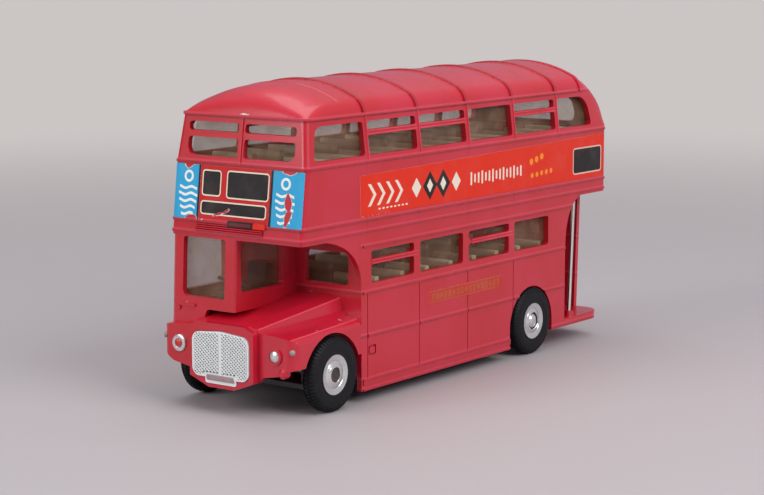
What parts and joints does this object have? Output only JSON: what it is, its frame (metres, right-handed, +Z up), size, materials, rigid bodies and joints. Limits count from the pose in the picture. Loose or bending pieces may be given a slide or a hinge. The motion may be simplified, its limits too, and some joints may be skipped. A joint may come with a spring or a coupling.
{
  "type": "toy double decker bus",
  "caption": "Die-cast toy double decker bus with a half cab, open rear platform, glazed decks with seats, and wheels that roll on fixed-line axles.",
  "frame": {"origin": "on the ground under the middle of the bus's length and width", "axes": "+Z up, the bus faces -Y, the side with the open platform is +X"},
  "size_m": [0.0358, 0.122, 0.0664],
  "materials": {
    "red_paint": "gloss enamel on die-cast metal, worn",
    "base_black": "semi-matt paint on pressed metal",
    "grille_silver": "silver paint on die-cast metal",
    "cream_plastic": "moulded plastic, aged",
    "cab_black": "moulded plastic",
    "glazing": "clear plastic, slightly yellowed",
    "bright_pole": "bright plated wire",
    "axle_steel": "drawn steel wire",
    "hub_metal": "turned and polished",
    "tyre": "moulded rubber"
  },
  "bodies": {
    "bus": {"base_plate": "base_black", "cab_fittings": "cab_black", "cab_glazing": "glazing", "lower_body": "red_paint", "lower_seats": "cream_plastic", "platform_pole": "bright_pole", "radiator_grille": "grille_silver", "saloon_glazing": "glazing", "upper_body": "red_paint", "upper_glazing": "glazing", "upper_seats": "cream_plastic"},
    "front_wheelset": {"front_axle": "axle_steel", "front_nearside_hub": "hub_metal", "front_nearside_tyre": "tyre", "front_offside_hub": "hub_metal", "front_offside_tyre": "tyre"},
    "rear_wheelset": {"rear_axle": "axle_steel", "rear_nearside_hub": "hub_metal", "rear_nearside_tyre": "tyre", "rear_offside_hub": "hub_metal", "rear_offside_tyre": "tyre"}
  },
  "joints": [
    {"name": "front_roll", "type": "hinge", "parent": "bus", "child": "front_wheelset", "pos_m": [0, -0.046, 0.00776], "axis": [1, 0, 0], "continuous": true},
    {"name": "rear_roll", "type": "hinge", "parent": "bus", "child": "rear_wheelset", "pos_m": [0, 0.02825, 0.00776], "axis": [1, 0, 0], "continuous": true}
  ]
}
